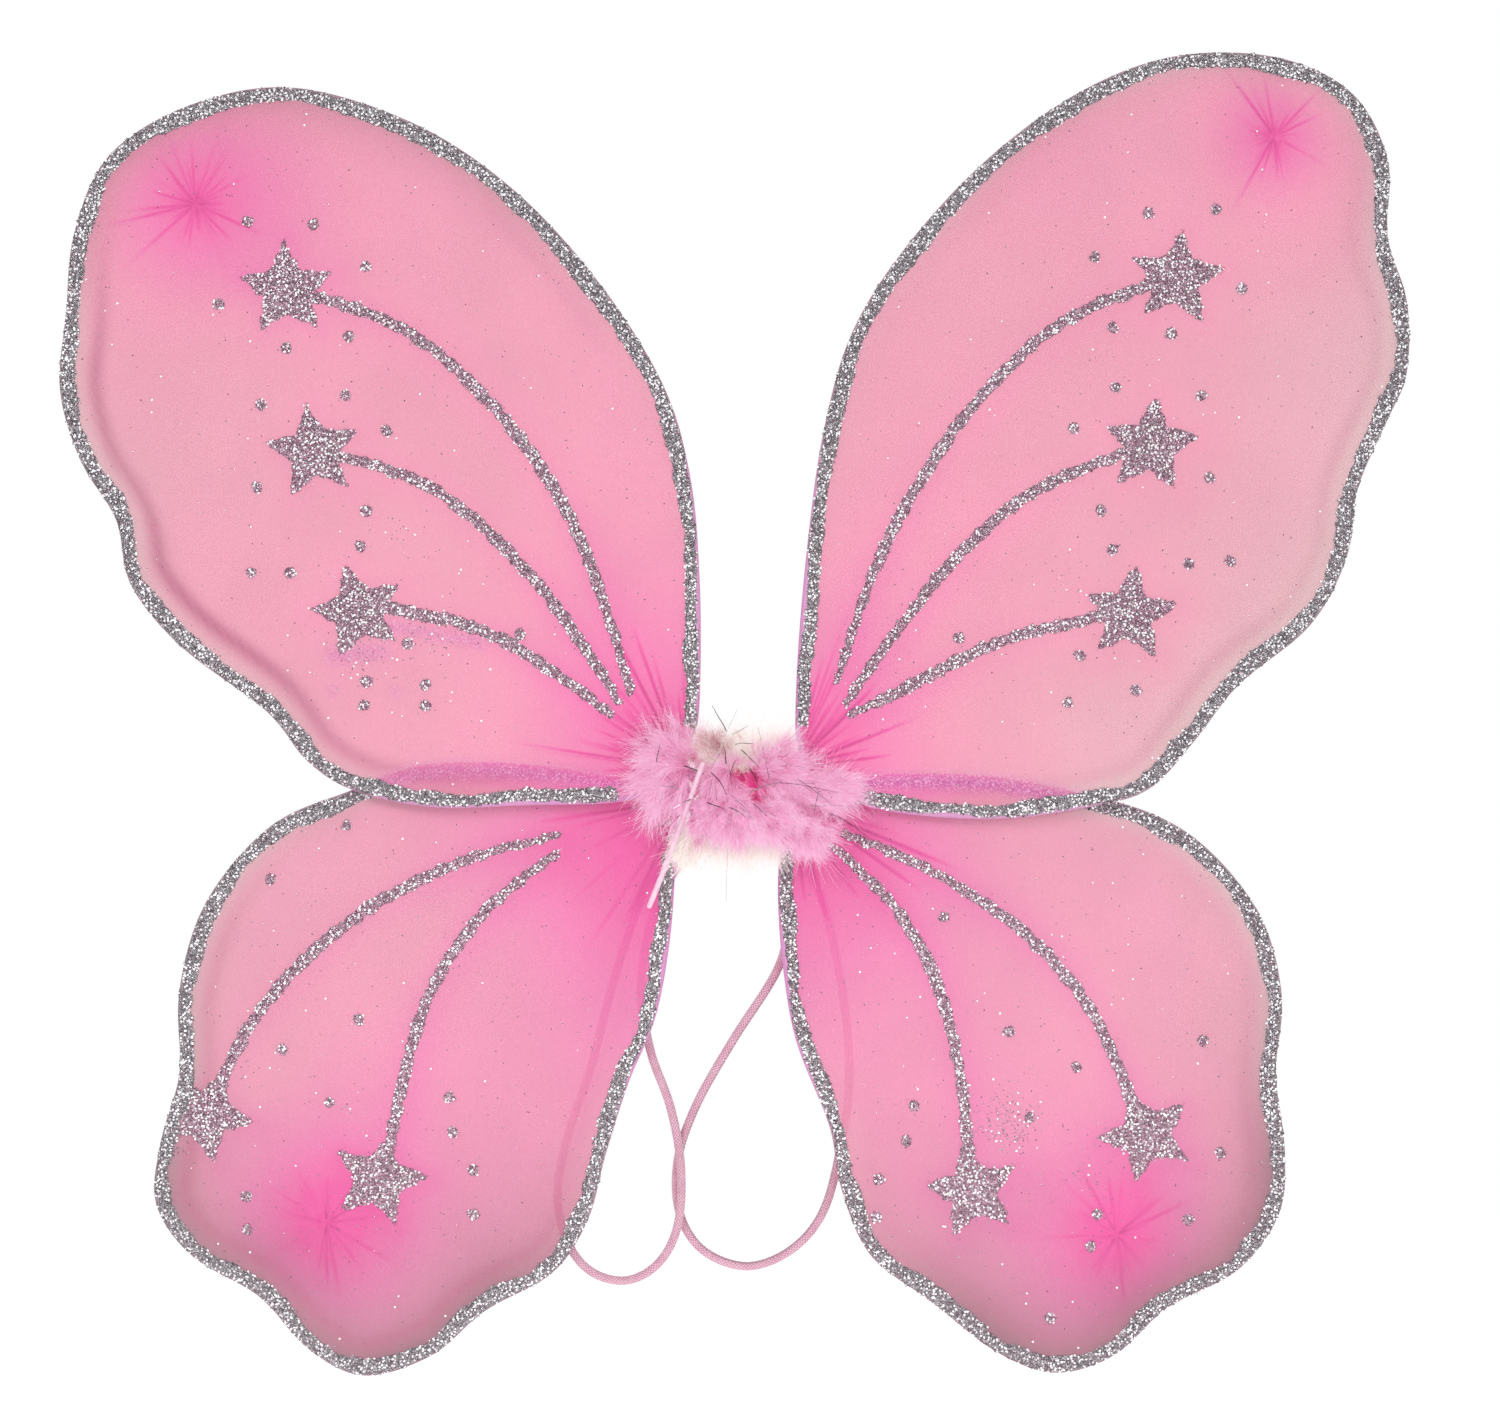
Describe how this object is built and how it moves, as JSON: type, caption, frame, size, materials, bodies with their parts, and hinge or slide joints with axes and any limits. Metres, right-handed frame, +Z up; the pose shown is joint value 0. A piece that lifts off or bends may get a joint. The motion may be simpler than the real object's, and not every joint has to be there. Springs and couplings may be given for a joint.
{
  "type": "fairy wings",
  "caption": "Pink butterfly-shaped costume wings of nylon over wire, with silver glitter shooting stars, a feather-trimmed middle and elastic arm loops.",
  "frame": {"origin": "the middle of the binding's flat back face, which lies against the wearer's back between the shoulder blades", "axes": "+Z up as worn, +X across the back to the wearer's right, +Y towards the wearer, so the glittered face looks to -Y"},
  "size_m": [0.458, 0.035, 0.4496],
  "materials": {
    "nylon": "sheer stretched stocking nylon, pale at the outer edges",
    "glitter_glue": "silver glitter flakes in dried clear glue",
    "frame_wire": "bright soft steel wire",
    "marabou": "fluffy pink feathers with silver tinsel",
    "elastic": "round braided elastic",
    "thread": "wound sewing thread",
    "binding_tape": "woven cloth tape",
    "tie_plastic": "pale translucent plastic"
  },
  "bodies": {
    "hub": {"wire_twist": "frame_wire", "binding": "binding_tape", "boa_cord": "marabou", "boa_middle": "marabou", "tie_band": "tie_plastic"},
    "tie_tail": {"tie_tail": "tie_plastic"},
    "left_arm_loop": {"arm_loop_left": "elastic", "loop_knot_left": "elastic"},
    "right_arm_loop": {"arm_loop_right": "elastic", "loop_knot_right": "elastic"},
    "lower_left_wing": {"lower_left_wire": "frame_wire", "lower_left_cover": "nylon", "lower_left_neck_tie": "thread", "lower_left_tip_tie": "thread", "lower_left_edge": "glitter_glue", "lower_left_star_outer": "glitter_glue", "lower_left_star_inner": "glitter_glue", "lower_left_dots": "glitter_glue"},
    "lower_right_wing": {"lower_right_wire": "frame_wire", "lower_right_cover": "nylon", "lower_right_neck_tie": "thread", "lower_right_tip_tie": "thread", "lower_right_edge": "glitter_glue", "lower_right_star_outer": "glitter_glue", "lower_right_star_inner": "glitter_glue", "lower_right_dots": "glitter_glue"},
    "upper_left_wing": {"upper_left_wire": "frame_wire", "upper_left_cover": "nylon", "upper_left_neck_tie": "thread", "upper_left_tip_tie": "thread", "upper_left_edge": "glitter_glue", "upper_left_star_top": "glitter_glue", "upper_left_star_middle": "glitter_glue", "upper_left_star_low": "glitter_glue", "upper_left_dots": "glitter_glue", "boa_end_left": "marabou"},
    "upper_right_wing": {"upper_right_wire": "frame_wire", "upper_right_cover": "nylon", "upper_right_neck_tie": "thread", "upper_right_tip_tie": "thread", "upper_right_edge": "glitter_glue", "upper_right_star_top": "glitter_glue", "upper_right_star_middle": "glitter_glue", "upper_right_star_low": "glitter_glue", "upper_right_dots": "glitter_glue", "boa_end_right": "marabou"}
  },
  "joints": [
    {"name": "lower_left_bend", "type": "hinge", "parent": "hub", "child": "lower_left_wing", "pos_m": [-0.017, -0.009, 0], "axis": [0, 0, 1], "range_deg": [0, 55]},
    {"name": "lower_right_bend", "type": "hinge", "parent": "hub", "child": "lower_right_wing", "pos_m": [0.017, -0.009, 0], "axis": [0, 0, -1], "range_deg": [0, 55]},
    {"name": "upper_left_bend", "type": "hinge", "parent": "lower_left_wing", "child": "upper_left_wing", "pos_m": [-0.017, -0.009, 0], "axis": [0, 0, 1], "range_deg": [0, 20]},
    {"name": "upper_right_bend", "type": "hinge", "parent": "lower_right_wing", "child": "upper_right_wing", "pos_m": [0.017, -0.009, 0], "axis": [0, 0, -1], "range_deg": [0, 20]},
    {"name": "left_loop_swing", "type": "hinge", "parent": "hub", "child": "left_arm_loop", "pos_m": [0, -0.003, -0.0113], "axis": [1, 0, 0], "range_deg": [0, 75]},
    {"name": "right_loop_swing", "type": "hinge", "parent": "left_arm_loop", "child": "right_arm_loop", "pos_m": [0, -0.003, -0.0113], "axis": [1, 0, 0], "range_deg": [0, 15]},
    {"name": "tail_lift", "type": "hinge", "parent": "hub", "child": "tie_tail", "pos_m": [-0.012, -0.0173, 0.007], "axis": [-1, 0, 0], "range_deg": [0, 27.5]}
  ],
  "couplings": [
    {"joint": "tail_lift", "follows": "lower_left_bend", "ratio": 0.5}
  ]
}
